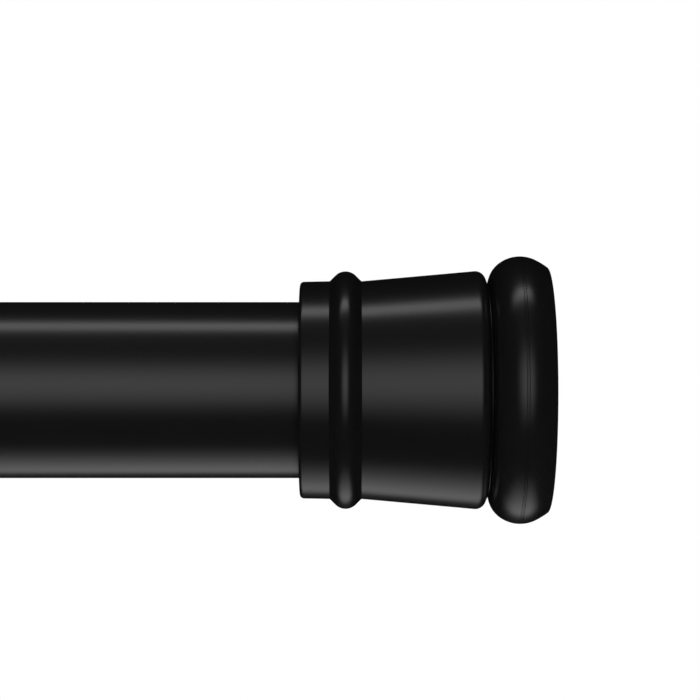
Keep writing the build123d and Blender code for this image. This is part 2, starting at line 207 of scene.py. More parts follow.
@dataclass(frozen=True)
class SweepPaper(Finish):
    """Studio paper that is nearly white to the camera and runs out into the white round it.

    Its glow is for the camera alone, so it throws no light on the rod.
    """

    glow: float = 0.62
    middle: Triple = (0.0, 0.0, 0.0)
    size: Point = (1.0, 1.0)
    plain_share: float = 0.45

    def add_glow(self, tree: Tree, shader: Node, place: Socket) -> None:
        """Adds a glow that grows from the middle to the edges.

        Args:
            tree: The material's node tree.
            shader: Its Principled node.
            place: The object coordinates to pattern by.
        """
        scale = (2 / self.size[0], 2 / self.size[1], 0.0)
        centred = add_node(tree, "ShaderNodeMapping", values={
            "Location": [-m * s for m, s in zip(self.middle, scale)], "Scale": scale},
            links={"Vector": place})
        away = add_node(tree, "ShaderNodeVectorMath", {"operation": "LENGTH"}, links={
            0: centred.outputs["Vector"]})
        glow = add_node(tree, "ShaderNodeMapRange", {"interpolation_type": "SMOOTHSTEP"}, {
            "From Min": self.plain_share, "From Max": 1.0, "To Min": self.glow, "To Max": 1.0}, {
            "Value": away.outputs["Value"]})
        rays = add_node(tree, "ShaderNodeLightPath")
        seen = add_node(tree, "ShaderNodeMath", {"operation": "MULTIPLY"}, links={
            0: glow.outputs["Result"], 1: rays.outputs["Is Camera Ray"]})
        shader.inputs["Emission Color"].default_value = srgb("#FFFFFF")
        tree.links.new(seen.outputs["Value"], shader.inputs["Emission Strength"])


# Polyester powder coat baked on steel: deep black, satin, with a very slight orange peel
POWDER_COAT = Finish("black_powder_coat_satin", "#252526", "#272728", 0.26, grain_mm=1.1,
                     grain_height_mm=0.0016, cloud_mm=30.0, roughness_swing=0.015)
# ABS from a polished mould: the tube's black and sheen, with faint flow marks
MOULDED_ABS = Finish("black_abs_moulded", "#242425", "#262627", 0.25, ior=1.48, grain_mm=0.9,
                     grain_height_mm=0.0012, cloud_mm=14.0, roughness_swing=0.02)
# Thermoplastic rubber from the same kind of mould: a finer grain, and a bloom in patches
FOOT_RUBBER = Finish("black_foot_rubber", "#242424", "#272727", 0.25, ior=1.48, grain_mm=0.35,
                     cloud_mm=9.0, roughness_swing=0.02)
# Polypropylene core: nearly black, plain and a little waxy
FOOT_CORE = Finish("dark_grey_polypropylene", "#232425", "#262728", 0.34, grain_mm=0.6,
                   grain_height_mm=0.003, cloud_mm=12.0)
# Natural nylon: warm off-white, slightly waxy, with cloudy flow lines
NATURAL_NYLON = Finish("natural_nylon_moulded", "#D9D2BE", "#CFC7B0", 0.42, ior=1.53,
                       grain_mm=0.8, grain_height_mm=0.003, cloud_mm=10.0, roughness_swing=0.05)
# Acetal: dense black, smooth and slippery
BLACK_ACETAL = Finish("black_acetal_moulded", "#151516", "#19191A", 0.34, ior=1.48,
                      cloud_mm=11.0, roughness_swing=0.03)
# Zinc-plated steel: cool grey metal with a faint blue passivation
ZINC_PLATE = TurnedSteel("zinc_plate_passivated", "#B9BCC0", "#A6ACB4", 0.32)
# Spring steel, drawn and oiled: darker, with lines of the die
SPRING_STEEL = TurnedSteel("drawn_spring_steel", "#77787A", "#5E5F62", 0.36, grain_mm=0.4)
# Nitrile rubber ring: dull black
NITRILE = Finish("black_nitrile_ring", "#131313", "#171717", 0.55, ior=1.52, grain_mm=0.2,
                 cloud_mm=5.0)
# Studio paper: pale, matt, with nothing on it, and a painted glow that only the camera sees,
# rising from its middle to its edges
FLOOR_MIDDLE = (-0.7, 0.0, -0.3)
FLOOR_SIZE = (3.2, 1.5)
GLOWING_FLOOR_PAPER = SweepPaper("pale_floor_painted_glow", "#F2F2F2", "#F5F5F5", 0.9, grain_mm=3.0,
                         grain_height_mm=0.01, cloud_mm=400.0, roughness_swing=0.02,
                         middle=FLOOR_MIDDLE, size=FLOOR_SIZE)


# Small tools for meshes

@dataclass
class Section:
    """The outline of a turned piece: corners of wall distance, radius and rounding, in mm."""

    corners: list[Triple] = field(default_factory=list)

    def path(self, *corners: tuple[float, ...]) -> "Section":
        """Adds corners.

        Args:
            corners: For each its distance from the wall face, its radius and, where it is
                rounded, the radius of its fillet.

        Returns:
            The section itself, so that calls can be chained.
        """
        for distance, radius, *rounding in corners:
            self.corners.append((distance, radius, rounding[0] if rounding else 0.0))
        return self

    def arc(self, centre: Point, radius: float, start: float, end: float,
            step: float) -> "Section":
        """Adds points along an arc.

        Args:
            centre: The arc's centre as distance and radius.
            radius: The arc's own radius.
            start: Angle of the first point, from 0 inwards along the rod to 90 outwards.
            end: Angle of the last point.
            step: The largest turn between two points, in degrees.

        Returns:
            The section itself.
        """
        count = max(1, math.ceil(abs(end - start) / step))
        for i in range(count + 1):
            angle = math.radians(start + (end - start) * i / count)
            self.path((centre[0] + radius * math.cos(angle),
                       centre[1] + radius * math.sin(angle)))
        return self

    def outline(self, step: float = 7.5) -> list[Point]:
        """Works out the outline with its roundings.

        Args:
            step: The largest turn between two points of a rounding, in degrees.

        Returns:
            The points, in order.
        """
        points: list[Point] = []
        count = len(self.corners)
        for i, (distance, radius, rounding) in enumerate(self.corners):
            here = Vector((distance, radius))
            if rounding <= 0:
                points.append((distance, radius))
                continue
            before = (Vector(self.corners[i - 1][:2]) - here).normalized()
            after = (Vector(self.corners[(i + 1) % count][:2]) - here).normalized()
            half = before.angle(after) / 2
            middle = here + (before + after).normalized() * rounding / math.sin(half)
            first = here + before * rounding / math.tan(half) - middle
            last = here + after * rounding / math.tan(half) - middle
            turn = -first.angle_signed(last)
            parts = max(2, math.ceil(math.degrees(abs(turn)) / step))
            for k in range(parts + 1):
                cos, sin = math.cos(turn * k / parts), math.sin(turn * k / parts)
                points.append((middle.x + first.x * cos - first.y * sin,
                               middle.y + first.x * sin + first.y * cos))
        return points


def only(piece: Piece) -> None:
    """Makes a piece the one that is selected and active."""
    bpy.ops.object.select_all(action="DESELECT")
    piece.select_set(True)
    bpy.context.view_layer.objects.active = piece


@contextmanager
def editing(piece: Piece) -> Iterator[None]:
    """Opens a piece for editing with all of it selected, and closes it afterwards."""
    only(piece)
    bpy.ops.object.mode_set(mode="EDIT")
    bpy.ops.mesh.select_all(action="SELECT")
    yield
    bpy.ops.object.mode_set(mode="OBJECT")


def tidy_normals(piece: Piece, merge: bool = True) -> None:
    """Merges what coincides and turns all faces outwards.

    Args:
        piece: A closed mesh.
        merge: False to leave the vertices as they are.
    """
    with editing(piece):
        if merge:
            bpy.ops.mesh.remove_doubles(threshold=MERGE * MM)
        bpy.ops.mesh.normals_make_consistent(inside=False)


def smooth(piece: Piece, angle: float = SHARP) -> None:
    """Shades a piece smooth, with sharp edges above an angle in degrees."""
    only(piece)
    bpy.ops.object.shade_smooth_by_angle(angle=math.radians(angle))


def combine(piece: Piece, tool: Piece, operation: str) -> None:
    """Unites, cuts or intersects a piece with a tool, which is used up.

    Args:
        piece: The mesh that stays.
        tool: The mesh that is removed afterwards.
        operation: UNION, DIFFERENCE or INTERSECT.
    """
    only(piece)
    step = piece.modifiers.new("combine", "BOOLEAN")
    step.operation = operation
    step.solver = "EXACT"
    step.object = tool
    bpy.ops.object.modifier_apply(modifier=step.name)
    bpy.data.objects.remove(tool)


def cut_off(piece: Piece, x: float, keep_above: bool) -> None:
    """Cuts a mesh across the rod and closes the cut.

    Args:
        piece: The mesh to cut.
        x: Place of the cut in metres.
        keep_above: True to keep the side of larger X.
    """
    with editing(piece):
        bpy.ops.mesh.bisect(plane_co=(x, 0, 0), plane_no=(1, 0, 0), use_fill=True,
                            clear_inner=keep_above, clear_outer=not keep_above)


def repeat(piece: Piece, count: int) -> None:
    """Copies a mesh round the rod's axis, evenly spaced, until there are as many as counted."""
    with editing(piece):
        bpy.ops.mesh.spin(steps=count - 1, dupli=True, angle=2 * math.pi * (count - 1) / count,
                          center=(0, 0, 0), axis=(1, 0, 0))
    tidy_normals(piece, merge=False)


@dataclass(frozen=True)
class Lathe:
    """Turns outlines about the rod's axis, with distances counted from one wall face."""

    wall_x: float
    inward: float
    facets: int = 192

    def x(self, distance: float) -> float:
        """Where a distance from the wall face lies on the rod's X axis, in metres."""
        return (self.wall_x + self.inward * distance) * MM

    def draw(self, name: str, points: list[Point], closed: bool) -> Piece:
        """Draws an outline point by point above the rod's axis.

        Args:
            name: Name of the piece.
            points: The outline as distances and radii in millimetres.
            closed: True to join its last point to its first.

        Returns:
            A mesh object of edges only.
        """
        start = Vector((self.x(points[0][0]), 0, points[0][1] * MM))
        bpy.ops.mesh.primitive_plane_add(size=MM, location=start)
        piece = bpy.context.object
        piece.name = piece.data.name = name
        bpy.ops.object.transform_apply(location=True)
        with editing(piece):
            bpy.ops.mesh.select_mode(type="VERT")
            bpy.ops.mesh.merge(type="CENTER")
            at = start
            for distance, radius in points[1:]:
                there = Vector((self.x(distance), 0, radius * MM))
                bpy.ops.mesh.extrude_region_move(TRANSFORM_OT_translate={"value": there - at})
                at = there
        if closed:
            piece.data.vertices[0].select = True
            piece.data.vertices[len(points) - 1].select = True
            bpy.ops.object.mode_set(mode="EDIT")
            bpy.ops.mesh.edge_face_add()
            bpy.ops.object.mode_set(mode="OBJECT")
        return piece

    def turn(self, name: str, points: list[Point], closed: bool = True,
             facets: int = 0) -> Piece:
        """Spins an outline about the rod's axis.

        Args:
            name: Name of the piece.
            points: The outline as distances and radii in millimetres.
            closed: True if the outline closes on itself, False if its ends lie on the axis.
            facets: Steps round the axis, or 0 for the lathe's own.

        Returns:
            The finished mesh object, with its normals outwards.
        """
        piece = self.draw(name, points, closed)
        with editing(piece):
            bpy.ops.mesh.spin(steps=facets or self.facets, angle=2 * math.pi,
                              center=(0, 0, 0), axis=(1, 0, 0))
        tidy_normals(piece)
        smooth(piece)
        return piece

    def wind(self, name: str, points: list[Point], lead: float, turns: int,
             closed: bool = False, facets: int = 48) -> Piece:
        """Winds an outline round the rod's axis as a right-hand helix.

        Args:
            name: Name of the piece.
            points: The outline as distances and radii in millimetres.
            lead: How far the outline moves inwards in one turn, in millimetres.
            turns: Number of whole turns.
            closed: True to join the outline's last point to its first.
            facets: Steps in one turn.

        Returns:
            The mesh object, open where the winding starts and ends.
        """
        piece = self.draw(name, points, closed)
        only(piece)
        winding = piece.modifiers.new("winding", "SCREW")
        winding.axis = "X"
        winding.angle = self.inward * 2 * math.pi
        winding.screw_offset = self.inward * lead * MM
        winding.iterations = turns
        winding.steps = winding.render_steps = facets
        bpy.ops.object.modifier_apply(modifier=winding.name)
        tidy_normals(piece)
        return piece

    def plate(self, name: str, points: list[Point], thickness: float) -> Piece:
        """Makes a flat plate that stands on the rod's axis, centred on its upright plane.

        Args:
            name: Name of the piece.
            points: Its outline as distances and radii in millimetres.
            thickness: Its thickness in millimetres.

        Returns:
            The closed mesh object.
        """
        piece = self.draw(name, points, closed=True)
        with editing(piece):
            bpy.ops.mesh.edge_face_add()
            bpy.ops.transform.translate(value=(0, -thickness / 2 * MM, 0))
            bpy.ops.mesh.extrude_region_move(
                TRANSFORM_OT_translate={"value": (0, thickness * MM, 0)})
        tidy_normals(piece)
        return piece


# The two ends of the rod

@dataclass(frozen=True)
class EndPlan:
    """What differs between the fixed end and the swivelling one."""

    prefix: str
    lathe: Lathe
    foot_body: str
    tube_body: str
    tube_r: float
    gap: float
    turns: bool


class End(Enum):
    """The end with the outer tube, at the frame's origin, and the one with the inner tube."""

    FIXED = EndPlan("fixed", Lathe(wall_x=0.0, inward=-1.0), foot_body="fixed_tube",
                    tube_body="fixed_tube", tube_r=12.7, gap=0.0, turns=False)
    SWIVEL = EndPlan("swivel", Lathe(wall_x=-ROD_LENGTH, inward=1.0), foot_body="far_foot",
                     tube_body="turning_tube", tube_r=11.1, gap=0.3, turns=True)


@dataclass(frozen=True)
class Setting:
    """Where a new piece belongs: its body, its material slot, its finish and its CAD node."""

    body: str
    slot: str
    finish: Finish
    node: str

    def seat(self, piece: Piece) -> Piece:
        """Gives a piece its finish and its place in the frame.

        Args:
            piece: The new mesh.

        Returns:
            The same piece.
        """
        piece.data.materials.clear()
        piece.data.materials.append(self.finish.material())
        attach(piece, self.body)
        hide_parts(self.node)
        log.info("%s: %d faces on %s", piece.name, len(piece.data.polygons), self.body)
        return piece


# Pieces

@dataclass(frozen=True)
class Tube:
    """A drawn steel tube with its cut edges broken."""

    setting: Setting
    start: float
    end: float
    outer_r: float
    bore_r: float
    edge_break: float = 0.12

    def build(self) -> Piece:
        """Turns the tube."""
        edge = self.edge_break
        section = Section().path(
            (self.start, self.bore_r, edge), (self.start, self.outer_r, edge),
            (self.end, self.outer_r, edge), (self.end, self.bore_r, edge))
        tube = End.FIXED.value.lathe.turn(self.setting.node + "_fine",
                                          section.outline(COARSE_TURN))
        return self.setting.seat(tube)


@dataclass(frozen=True)
class EndCover:
    """Flared cover with a collar, a half-round bead, a cone and a rounded flank, ribbed inside."""

    end: End
    front: float = 8.859
    length: float = 26.86
    wall: float = 1.8
    small_r: float = 15.7
    large_r: float = 17.25
    collar_length: float = 6.56
    collar_draft: float = 0.08
    mouth_fillet: float = 0.6
    mouth_lip: float = 2.0
    bead_height: float = 1.42
    bead_radius: float = 2.08
    bead_flank: float = 45.0
    bead_root: float = 0.1
    bead_turn: float = 2.5
    flank_drop: float = 1.7
    flank_angle: float = 68.0
    flank_fillet: float = 1.46
    edge_break: float = 0.15
    rounding_turn: float = 6.0
    web_hole_r: float = 9.21
    rib_count: int = 8
    rib_width: float = 1.2
    rib_clearance: float = 0.02
    rib_sunk: float = 0.4

    def section(self) -> Section:
        """The cover's outline: outside from wall side to mouth, then back through the cavity."""
        front = self.front + self.end.value.gap
        mouth = front + self.length
        bead = mouth - self.collar_length
        bead_r = self.small_r + self.bead_height
        flank = math.radians(self.bead_flank)
        arc_end_r = bead_r - self.bead_radius * (1 - math.cos(flank))
        bead_half = (self.bead_radius * math.sin(flank)
                     + (arc_end_r - self.small_r) / math.tan(flank))
        flank_top = front + self.flank_drop / math.tan(math.radians(self.flank_angle))
        bore_r = self.end.value.tube_r + PRESS
        back = mouth - self.mouth_lip
        edge = self.edge_break
        section = Section().path(
            (front, self.web_hole_r, edge), (front, self.large_r - self.flank_drop, edge),
            (flank_top, self.large_r, self.flank_fillet),
            (bead - bead_half, self.small_r, self.bead_root))
        section.arc((bead, bead_r - self.bead_radius), self.bead_radius, 90 + self.bead_flank,
                    90 - self.bead_flank, self.bead_turn)
        return section.path(
            (bead + bead_half, self.small_r, self.bead_root),
            (mouth, self.small_r - self.collar_draft, self.mouth_fillet),
            (mouth, bore_r, edge), (back, bore_r), (back, self.small_r - self.wall),
            (bead, self.small_r - self.wall), (front + self.wall, self.large_r - self.wall),
            (front + self.wall, self.web_hole_r))

    def ribs(self) -> Piece:
        """The ribs that centre the cover on its tube, sunk a little into its wall and ends."""
        plan = self.end.value
        front = self.front + plan.gap + self.wall - self.rib_sunk
        back = self.front + plan.gap + self.length - self.mouth_lip + self.rib_sunk
        inner = plan.tube_r + PRESS + self.rib_clearance
        outer = self.small_r - self.wall + self.rib_sunk
        ribs = plan.lathe.plate("ribs", [
            (front, inner), (front, self.large_r - self.wall + self.rib_sunk),
            (back - self.collar_length, outer), (back, outer), (back, inner)], self.rib_width)
        repeat(ribs, self.rib_count)
        return ribs

    def build(self) -> Piece:
        """Turns the shell and joins the ribs to it."""
        plan = self.end.value
        node = plan.prefix + "_end_cover"
        cover = plan.lathe.turn(node + "_fine", self.section().outline(self.rounding_turn))
        combine(cover, self.ribs(), "UNION")
        smooth(cover)
        return Setting(plan.tube_body, "black_moulded_cover", MOULDED_ABS, node).seat(cover)


@dataclass(frozen=True)
class FootBumper:
    """Rubber cap with a rounded rim, mould lines round its crest and a grooved wall face.

    A mould line is its offset from the crest towards the rod, its width and its depth.
    """

    end: End
    crown_from_wall: float = 4.06
    crown_r: float = 19.29
    crown_radius: float = 4.94
    crown_steps: int = 26
    rear_angle: float = 39.0
    rear_radius: float = 3.75
    rear_turn: float = 3.0
    front_angle: float = 26.5
    front_radius: float = 11.4
    front_turn: float = 1.2
    wall_edge: float = 0.5
    wall_edge_turn: float = 2.2
    skin: float = 2.2
    disc_r: float = 14.24
    disc_back: float = 5.6
    neck_r: float = 12.44
    seat_back: float = 7.69
    mould_lines: tuple[Triple, ...] = (
        (-0.04, 0.09, 0.03), (0.14, 0.04, 0.01), (0.33, 0.08, 0.03))
    line_clearance: float = 1.2
    groove_starts: tuple[float, ...] = (7.0, 9.7, 12.4)
    groove_width: float = 1.2
    groove_depth: float = 0.5
    groove_edge: float = 0.15

    def crown(self, section: Section, centre: Point) -> None:
        """Adds the crest from its wall side to its back, with the mould lines cut in.

        Args:
            section: The outline to add to.
            centre: Centre of the crest's arc.
        """
        depths: dict[float, float] = {}
        taken: list[Point] = []
        for offset, width, depth in self.mould_lines:
            line = 90 - math.degrees(offset / self.crown_radius)
            half = math.degrees(width / 2 / self.crown_radius)
            depths[line + half] = depths[line - half] = 0.0
            depths[line] = depth
            taken.append((line - self.line_clearance * half, line + self.line_clearance * half))
        first, last = 90 + self.front_angle, 90 - self.rear_angle
        for i in range(self.crown_steps + 1):
            angle = first + (last - first) * i / self.crown_steps
            if not any(low < angle < high for low, high in taken):
                depths[angle] = 0.0
        for angle in sorted(depths, reverse=True):
            reach = self.crown_radius - depths[angle]
            turn = math.radians(angle)
            section.path((centre[0] + reach * math.cos(turn), centre[1] + reach * math.sin(turn)))

    def section(self) -> Section:
        """The outline, from the axis over wall face, crest and hook back to the axis."""
        centre = (self.crown_from_wall, self.crown_r - self.crown_radius)
        lean = math.radians(90 + self.front_angle)
        drop = self.front_radius - self.crown_radius
        front_centre = (centre[0] - drop * math.cos(lean), centre[1] - drop * math.sin(lean))
        foot_angle = 180 - math.degrees(math.acos(front_centre[0] / self.front_radius))
        turn = math.radians(90 - self.rear_angle)
        rise = self.crown_radius - self.rear_radius
        rear_centre = (centre[0] + rise * math.cos(turn), centre[1] + rise * math.sin(turn))
        face_r = front_centre[1] + self.front_radius * math.sin(math.radians(foot_angle))
        edge, depth = self.groove_edge, self.groove_depth
        section = Section().path((0.0, 0.0))
        for start in self.groove_starts:
            end = start + self.groove_width
            section.path((0.0, start, edge), (depth, start, edge), (depth, end, edge),
                         (0.0, end, edge))
        section.path((0.0, face_r, self.wall_edge))
        section.arc(front_centre, self.front_radius, foot_angle - self.wall_edge_turn,
                    90 + self.front_angle + self.front_turn, self.front_turn)
        self.crown(section, centre)
        section.arc(rear_centre, self.rear_radius, 90 - self.rear_angle - self.rear_turn, 0,
                    self.rear_turn)
        return section.path((self.seat_back, self.neck_r), (self.disc_back, self.neck_r),
                            (self.disc_back, self.disc_r), (self.skin, self.disc_r),
                            (self.skin, 0.0))

    def build(self) -> Piece:
        """Turns the bumper."""
        plan = self.end.value
        node = plan.prefix + "_foot_bumper"
        bumper = plan.lathe.turn(node + "_fine", self.section().outline(), closed=False)
        return Setting(plan.foot_body, "black_rubber", FOOT_RUBBER, node).seat(bumper)


@dataclass(frozen=True)
class FootCore:
    """Hard core of the foot: a disc in the rubber, a thin rim and the hub that enters the plug."""

    end: End
    front: float = 2.2
    disc_r: float = 14.19
    disc_back: float = 5.6
    neck_r: float = 12.39
    seat_back: float = 7.677
    seat_end: Point = (8.383, 14.7)
    rim_r: float = 15.335
    rim_line: float = 0.08
    rim_edge: float = 0.02
    back: float = 8.859
    hub_r: float = 7.1
    hub_end: float = 15.559
    floor: float = 5.5
    head_r: float = 4.7
    bolt_r: float = 2.2
    edge_break: float = 0.15
    rounding_turn: float = 15.0
    pocket_count: int = 6
    pocket_r: float = 1.5
    pocket_depth: float = 2.2
    pocket_facets: int = 48
    key_width: float = 3.0
    key_height: float = 0.9

    def section(self) -> Section:
        """The outline, with the rim slanted so that only a fine line of it catches the light."""
        edge = self.edge_break
        return Section().path(
            (self.front, self.head_r, edge), (self.front, self.disc_r, edge),
            (self.disc_back, self.disc_r, edge), (self.disc_back, self.neck_r),
            (self.seat_back, self.neck_r), self.seat_end,
            (self.back - self.rim_line, self.rim_r, self.rim_edge),
            (self.back, self.rim_r, self.rim_edge), (self.back, self.hub_r, edge),
            (self.hub_end, self.hub_r, edge), (self.hub_end, self.bolt_r, edge),
            (self.floor, self.bolt_r), (self.floor, self.head_r))

    def pockets(self) -> Piece:
        """The round pockets that are moulded into the disc's front."""
        middle_r = (self.disc_r + self.head_r) / 2
        bpy.ops.mesh.primitive_cylinder_add(
            vertices=self.pocket_facets, radius=self.pocket_r * MM,
            depth=2 * self.pocket_depth * MM, rotation=(0, math.pi / 2, 0),
            location=(self.end.value.lathe.x(self.front), 0, middle_r * MM))
        pockets = bpy.context.object
        bpy.ops.object.transform_apply(location=True, rotation=True)
        repeat(pockets, self.pocket_count)
        return pockets

    def build(self) -> Piece:
        """Turns the core, sinks the pockets and adds the key that stops the fixed foot turning."""
        plan = self.end.value
        node = plan.prefix + "_foot_core"
        core = plan.lathe.turn(node + "_fine", self.section().outline(self.rounding_turn))
        combine(core, self.pockets(), "DIFFERENCE")
        if not plan.turns:
            middle = plan.lathe.x((self.back + self.hub_end) / 2)
            bpy.ops.mesh.primitive_cube_add(
                size=1, location=(middle, 0, self.hub_r * MM), scale=(
                    (self.hub_end - self.back) * MM, self.key_width * MM,
                    2 * self.key_height * MM))
            combine(core, bpy.context.object, "UNION")
        smooth(core)
        return Setting(plan.foot_body, "grey_foot_core", FOOT_CORE, node).seat(core)


@dataclass(frozen=True)
class MouthBushing:
    """Moulded ring in the outer tube's open end, with a rounded flange over the tube's edge."""

    tube_end: float = 1073.08
    mouth: float = 1075.58
    length: float = 25.0
    bore_r: float = 11.25
    sleeve_r: float = 12.05
    flange_r: float = 13.3
    flange_fillet: float = 0.8
    edge_break: float = 0.2

    def build(self) -> Piece:
        """Turns the bushing."""
        edge = self.edge_break
        start = self.tube_end - self.length
        section = Section().path(
            (start, self.bore_r, edge), (start, self.sleeve_r, edge),
            (self.tube_end, self.sleeve_r), (self.tube_end, self.flange_r, edge),
            (self.mouth, self.flange_r, self.flange_fillet), (self.mouth, self.bore_r, edge))
        ring = End.FIXED.value.lathe.turn("mouth_bushing_fine", section.outline())
        return Setting("fixed_tube", "black_moulded_cover", MOULDED_ABS,
                       "mouth_bushing").seat(ring)


@dataclass(frozen=True)
class Thread:
    """A screw thread between a root and a crest, wound some turns too long and then trimmed."""

    pitch: float
    starts: int
    root_r: float
    crest_r: float
    crest_share: float
    root_share: float
    facets: int
    spare_turns: int = 2

    def shank(self, lathe: Lathe, name: str, envelope: list[Point]) -> Piece:
        """Winds the thread and trims it to an envelope.

        Args:
            lathe: The lathe that it is wound on.
            name: Name of the piece.
            envelope: Outline of the shank from axis to axis, as distances and radii.

        Returns:
            The closed threaded shank.
        """
        low = min(point[0] for point in envelope)
        high = max(point[0] for point in envelope)
        lead = self.pitch * self.starts
        flank = (1 - self.crest_share - self.root_share) / 2 * self.pitch
        crest = self.crest_share * self.pitch
        begin = low - self.spare_turns * lead
        points = [(begin, self.root_r)]
        for i in range(self.starts):
            at = begin + i * self.pitch + self.root_share * self.pitch
            points += [(at, self.root_r), (at + flank, self.crest_r),
                       (at + flank + crest, self.crest_r), (at + 2 * flank + crest, self.root_r)]
        turns = math.ceil((high - low) / lead) + 2 * self.spare_turns
        shank = lathe.wind(name, points, lead, turns, facets=self.facets)
        edges = sorted((lathe.x(low - lead / 2), lathe.x(high + lead / 2)))
        cut_off(shank, edges[0], keep_above=True)
        cut_off(shank, edges[1], keep_above=False)
        tidy_normals(shank)
        sleeve = lathe.turn("envelope", envelope, closed=False, facets=2 * self.facets)
        combine(shank, sleeve, "INTERSECT")
        tidy_normals(shank)
        return shank


@dataclass(frozen=True)
class Spindle:
    """Threaded spindle with two starts, chamfered ends and the cross hole for the wedge's pin."""

    front: float = 61.66
    back: float = 197.46
    radius: float = 4.0
    chamfer: float = 1.0
    over: float = 0.05
    pin_at: float = 103.36
    pin_r: float = 1.0
    drill_length: float = 12.0
    drill_facets: int = 32
    thread: Thread = Thread(pitch=1.5, starts=2, root_r=3.32, crest_r=4.0, crest_share=0.22,
                            root_share=0.26, facets=48)

    def build(self) -> Piece:
        """Winds and trims the spindle and drills the pin's hole."""
        lathe = End.FIXED.value.lathe
        tip_r = self.radius - self.chamfer
        full_r = self.radius + self.over
        taper = self.chamfer + self.over
        spindle = self.thread.shank(lathe, "threaded_spindle_fine", [
            (self.front, 0.0), (self.front, tip_r), (self.front + taper, full_r),
            (self.back - taper, full_r), (self.back, tip_r), (self.back, 0.0)])
        bpy.ops.mesh.primitive_cylinder_add(
            vertices=self.drill_facets, radius=self.pin_r * MM, depth=self.drill_length * MM,
            location=(lathe.x(self.pin_at), 0, 0))
        combine(spindle, bpy.context.object, "DIFFERENCE")
        smooth(spindle, THREAD_SHARP)
        return Setting("screw_lock", "zinc_plated_steel", ZINC_PLATE,
                       "threaded_spindle").seat(spindle)


@dataclass(frozen=True)
class FootScrew:
    """Pan head screw with a cross recess and self-forming thread, shouldered if the foot turns."""

    end: End
    head_back: float
    thread_start: float
    length: float = 20.0
    head_r: float = 3.8
    head_height: float = 2.2
    head_steps: int = 9
    head_facets: int = 96
    shoulder_r: float = 3.0
    neck_over_root: float = 0.25
    overlap: float = 0.6
    over: float = 0.02
    tip_r: float = 0.3
    recess_width: float = 1.1
    recess_span: float = 4.4
    recess_depth: float = 1.2
    thread: Thread = Thread(pitch=1.4, starts=1, root_r=1.4, crest_r=1.95, crest_share=0.1,
                            root_share=0.4, facets=32)

    def head(self) -> Piece:
        """Turns the head, and the shoulder with it where there is one."""
        plan = self.end.value
        half_r = self.head_r / 2
        head_front = self.head_back - self.head_height
        section = Section().path((head_front, 0.0), (head_front, half_r))
        for i in range(1, self.head_steps):
            angle = math.radians(90 * i / self.head_steps)
            section.path((self.head_back - self.head_height * math.cos(angle),
                          half_r + half_r * math.sin(angle)))
        neck_r = self.shoulder_r if plan.turns else self.thread.root_r + self.neck_over_root
        section.path((self.head_back, self.head_r), (self.head_back, neck_r),
                     (self.thread_start, neck_r), (self.thread_start, 0.0))
        return plan.lathe.turn(plan.prefix + "_foot_screw_fine", section.outline(),
                               closed=False, facets=self.head_facets)

    def build(self) -> Piece:
        """Joins head and shank and cuts the cross recess."""
        plan = self.end.value
        start = self.thread_start - self.overlap
        tip = self.head_back + self.length
        crest_r = self.thread.crest_r
        shank = self.thread.shank(plan.lathe, "shank", [
            (start, 0.0), (start, crest_r + self.over),
            (tip - crest_r - self.overlap, crest_r + self.over), (tip, self.tip_r), (tip, 0.0)])
        screw = self.head()
        combine(screw, shank, "UNION")
        front = plan.lathe.x(self.head_back - self.head_height)
        for width, span in ((self.recess_span, self.recess_width),
                            (self.recess_width, self.recess_span)):
            bpy.ops.mesh.primitive_cube_add(size=1, location=(front, 0, 0), scale=(
                2 * self.recess_depth * MM, width * MM, span * MM))
            combine(screw, bpy.context.object, "DIFFERENCE")
        smooth(screw, THREAD_SHARP)
        return Setting(plan.tube_body, "zinc_plated_steel", ZINC_PLATE,
                       plan.prefix + "_foot_screw").seat(screw)


@dataclass(frozen=True)
class LockSpring:
    """Compression spring with a closed, ground coil at each end."""

    front: float = 110.01
    back: float = 139.91
    mean_r: float = 8.5
    wire_r: float = 0.7
    wire_turn: float = 22.5
    closed_pitch: float = 1.45
    inset: float = 0.09
    open_turns: int = 7
    wedge_face: float = 109.96
    drive_face: float = 139.96

    def winding(self, name: str, start: float, lead: float, turns: int) -> Piece:
        """Winds part of the wire.

        Args:
            name: Name of the part.
            start: Distance of the wire's middle where it starts.
            lead: Its advance in one turn.
            turns: Number of turns.

        Returns:
            The open tube of wire.
        """
        circle = Section().arc((start, self.mean_r), self.wire_r, 0, 360 - self.wire_turn,
                               self.wire_turn)
        return End.FIXED.value.lathe.wind(name, circle.outline(), lead, turns, closed=True)

    def build(self) -> Piece:
        """Winds the coils, joins them, closes the wire's ends and grinds both faces."""
        first = self.front + self.inset
        last = self.back - self.inset
        open_lead = (last - first - 2 * self.closed_pitch) / self.open_turns
        parts = [self.winding("lock_spring_fine", first, self.closed_pitch, 1),
                 self.winding("open_coils", first + self.closed_pitch, open_lead,
                              self.open_turns),
                 self.winding("closed_coil", last - self.closed_pitch, self.closed_pitch, 1)]
        only(parts[0])
        for part in parts[1:]:
            part.select_set(True)
        bpy.ops.object.join()
        spring = bpy.context.object
        with editing(spring):
            bpy.ops.mesh.remove_doubles(threshold=WIRE_MERGE * MM)
            bpy.ops.mesh.fill_holes(sides=0)
        lathe = End.FIXED.value.lathe
        cut_off(spring, lathe.x(self.front), keep_above=False)
        cut_off(spring, lathe.x(self.back), keep_above=True)
        tidy_normals(spring)
        smooth(spring, THREAD_SHARP)
        spring.data.materials.append(SPRING_STEEL.material())
        lathe.x(self.drive_face)
        lathe.x(self.wedge_face)
        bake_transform(spring)
        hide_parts("lock_spring")
        log.info("%s: %d faces between two bodies", spring.name, len(spring.data.polygons))
        return spring


